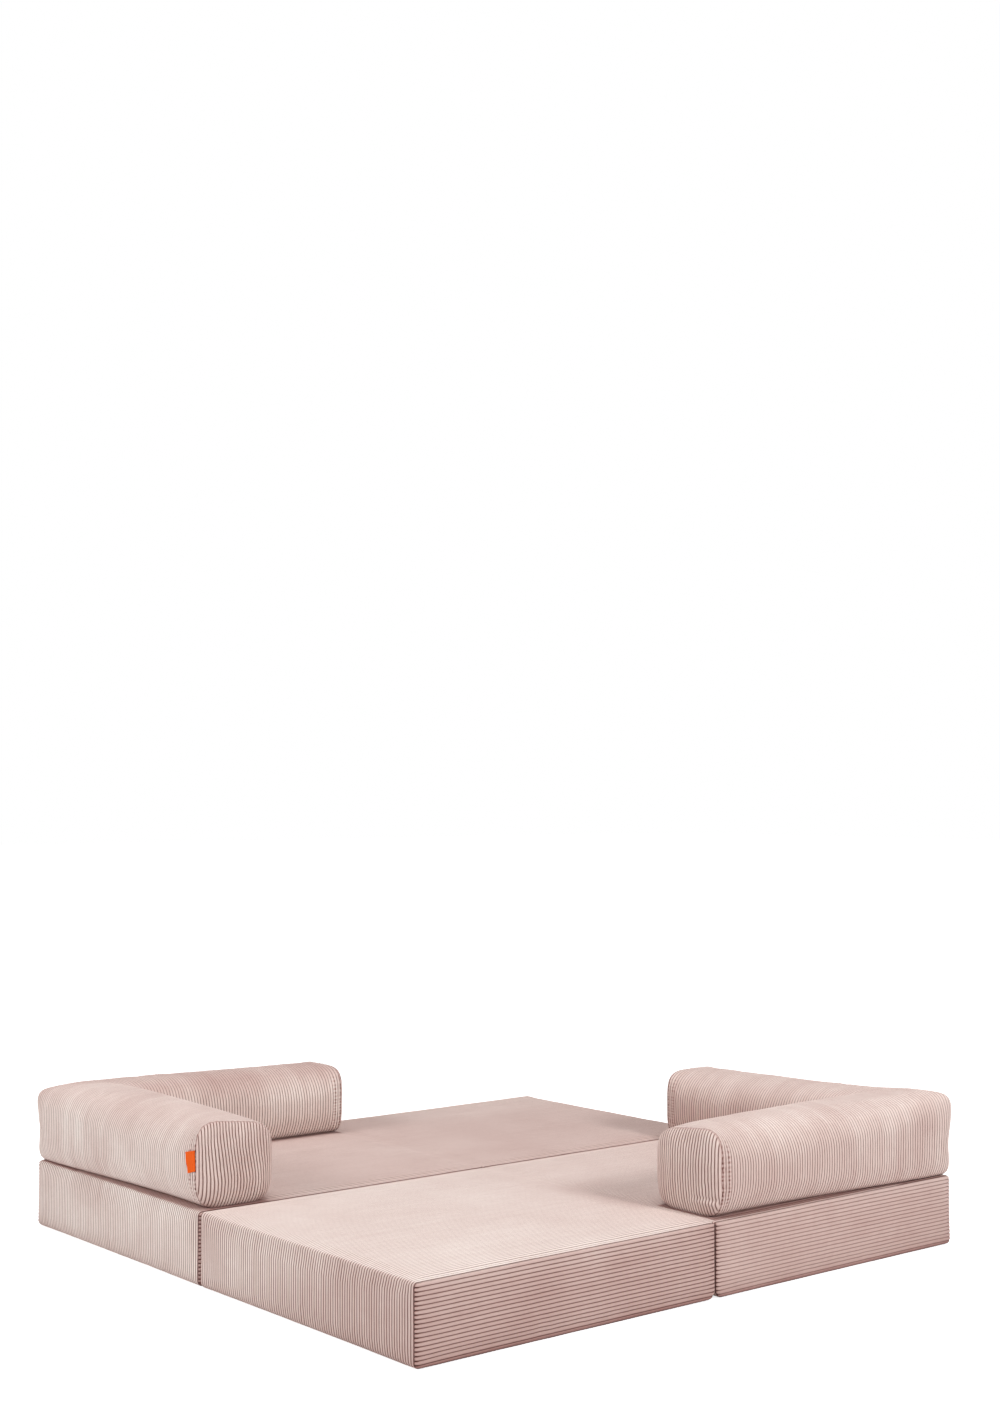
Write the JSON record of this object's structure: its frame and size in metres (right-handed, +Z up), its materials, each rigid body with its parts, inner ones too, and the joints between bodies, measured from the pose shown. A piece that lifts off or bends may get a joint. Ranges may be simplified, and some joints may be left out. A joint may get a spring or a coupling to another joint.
{
  "type": "fold-out sofa bed",
  "caption": "Corduroy fold-out sofa laid flat as a double bed: two folding foam mattress units, each with a loose L-shaped bolster.",
  "frame": {"origin": "on the floor, at the middle of the bed's outline", "axes": "+X runs along the units, from the front unit's flap panel to its base panel; +Y runs from the front unit to the rear unit; +Z is up"},
  "size_m": [2.001, 1.956, 0.4402],
  "materials": {
    "corduroy": "wide-wale corduroy",
    "cap_corduroy": "wide-wale corduroy, ribs upright",
    "foam": "open-cell polyurethane foam",
    "zip_tape": "woven tape with a coil chain",
    "zip_metal": "satin zinc alloy",
    "tag": "woven ribbon"
  },
  "bodies": {
    "left_panel": {"left_panel_cover": "corduroy", "left_panel_foam": "foam", "left_panel_zip": "zip_tape", "rear_fold_cloth": "corduroy"},
    "rear_panel": {"rear_panel_cover": "corduroy", "rear_panel_foam": "foam", "rear_panel_zip": "zip_tape"},
    "left_bolster": {"left_bolster_long_sleeve": "corduroy", "left_bolster_short_sleeve": "corduroy", "left_bolster_foam": "foam", "left_bolster_long_end_cap": "cap_corduroy", "left_bolster_short_end_cap": "cap_corduroy", "left_bolster_zip": "zip_tape", "left_bolster_tag": "tag"},
    "left_panel_zip_slider": {"left_panel_zip_slider": "zip_metal"},
    "rear_panel_zip_slider": {"rear_panel_zip_slider": "zip_metal"},
    "left_bolster_zip_slider": {"left_bolster_zip_slider": "zip_metal"},
    "right_panel": {"right_panel_cover": "corduroy", "right_panel_foam": "foam", "right_panel_zip": "zip_tape", "front_fold_cloth": "corduroy"},
    "near_panel": {"near_panel_cover": "corduroy", "near_panel_foam": "foam", "near_panel_zip": "zip_tape"},
    "right_bolster": {"right_bolster_long_sleeve": "corduroy", "right_bolster_short_sleeve": "corduroy", "right_bolster_foam": "foam", "right_bolster_long_end_cap": "cap_corduroy", "right_bolster_short_end_cap": "cap_corduroy", "right_bolster_zip": "zip_tape", "right_bolster_tag": "tag"},
    "right_panel_zip_slider": {"right_panel_zip_slider": "zip_metal"},
    "near_panel_zip_slider": {"near_panel_zip_slider": "zip_metal"},
    "right_bolster_zip_slider": {"right_bolster_zip_slider": "zip_metal"}
  },
  "joints": [
    {"name": "rear_fold", "type": "hinge", "parent": "left_panel", "child": "rear_panel", "pos_m": [0, 0.49, 0.2085], "axis": [0, -1, 0], "range_deg": [0, 180], "deforming": ["rear_fold_cloth"]},
    {"name": "left_bolster_lift", "type": "slide", "parent": "left_panel", "child": "left_bolster", "axis": [0, 0, 1], "range_m": [0, 2.08]},
    {"name": "left_panel_zip_pull", "type": "slide", "parent": "left_panel", "child": "left_panel_zip_slider", "axis": [-1, 0, 0], "range_m": [0, 0.739]},
    {"name": "rear_panel_zip_pull", "type": "slide", "parent": "rear_panel", "child": "rear_panel_zip_slider", "axis": [1, 0, 0], "range_m": [0, 0.739]},
    {"name": "left_bolster_zip_pull", "type": "slide", "parent": "left_bolster", "child": "left_bolster_zip_slider", "axis": [-1, 0, 0], "range_m": [0, 0.539]},
    {"name": "front_unit_pull", "type": "slide", "parent": "left_panel", "child": "right_panel", "axis": [0, -1, 0], "range_m": [0, 0.6]},
    {"name": "front_fold", "type": "hinge", "parent": "right_panel", "child": "near_panel", "pos_m": [0, -0.49, 0.2085], "axis": [0, 1, 0], "range_deg": [0, 180], "deforming": ["front_fold_cloth"]},
    {"name": "right_bolster_lift", "type": "slide", "parent": "right_panel", "child": "right_bolster", "axis": [0, 0, 1], "range_m": [0, 2.08]},
    {"name": "right_panel_zip_pull", "type": "slide", "parent": "right_panel", "child": "right_panel_zip_slider", "axis": [1, 0, 0], "range_m": [0, 0.739]},
    {"name": "near_panel_zip_pull", "type": "slide", "parent": "near_panel", "child": "near_panel_zip_slider", "axis": [-1, 0, 0], "range_m": [0, 0.739]},
    {"name": "right_bolster_zip_pull", "type": "slide", "parent": "right_bolster", "child": "right_bolster_zip_slider", "axis": [1, 0, 0], "range_m": [0, 0.539]}
  ],
  "couplings": [
    {"joint": "left_bolster_lift", "follows": "rear_fold", "m_per_rad": 0.66},
    {"joint": "right_bolster_lift", "follows": "front_fold", "m_per_rad": 0.66}
  ]
}
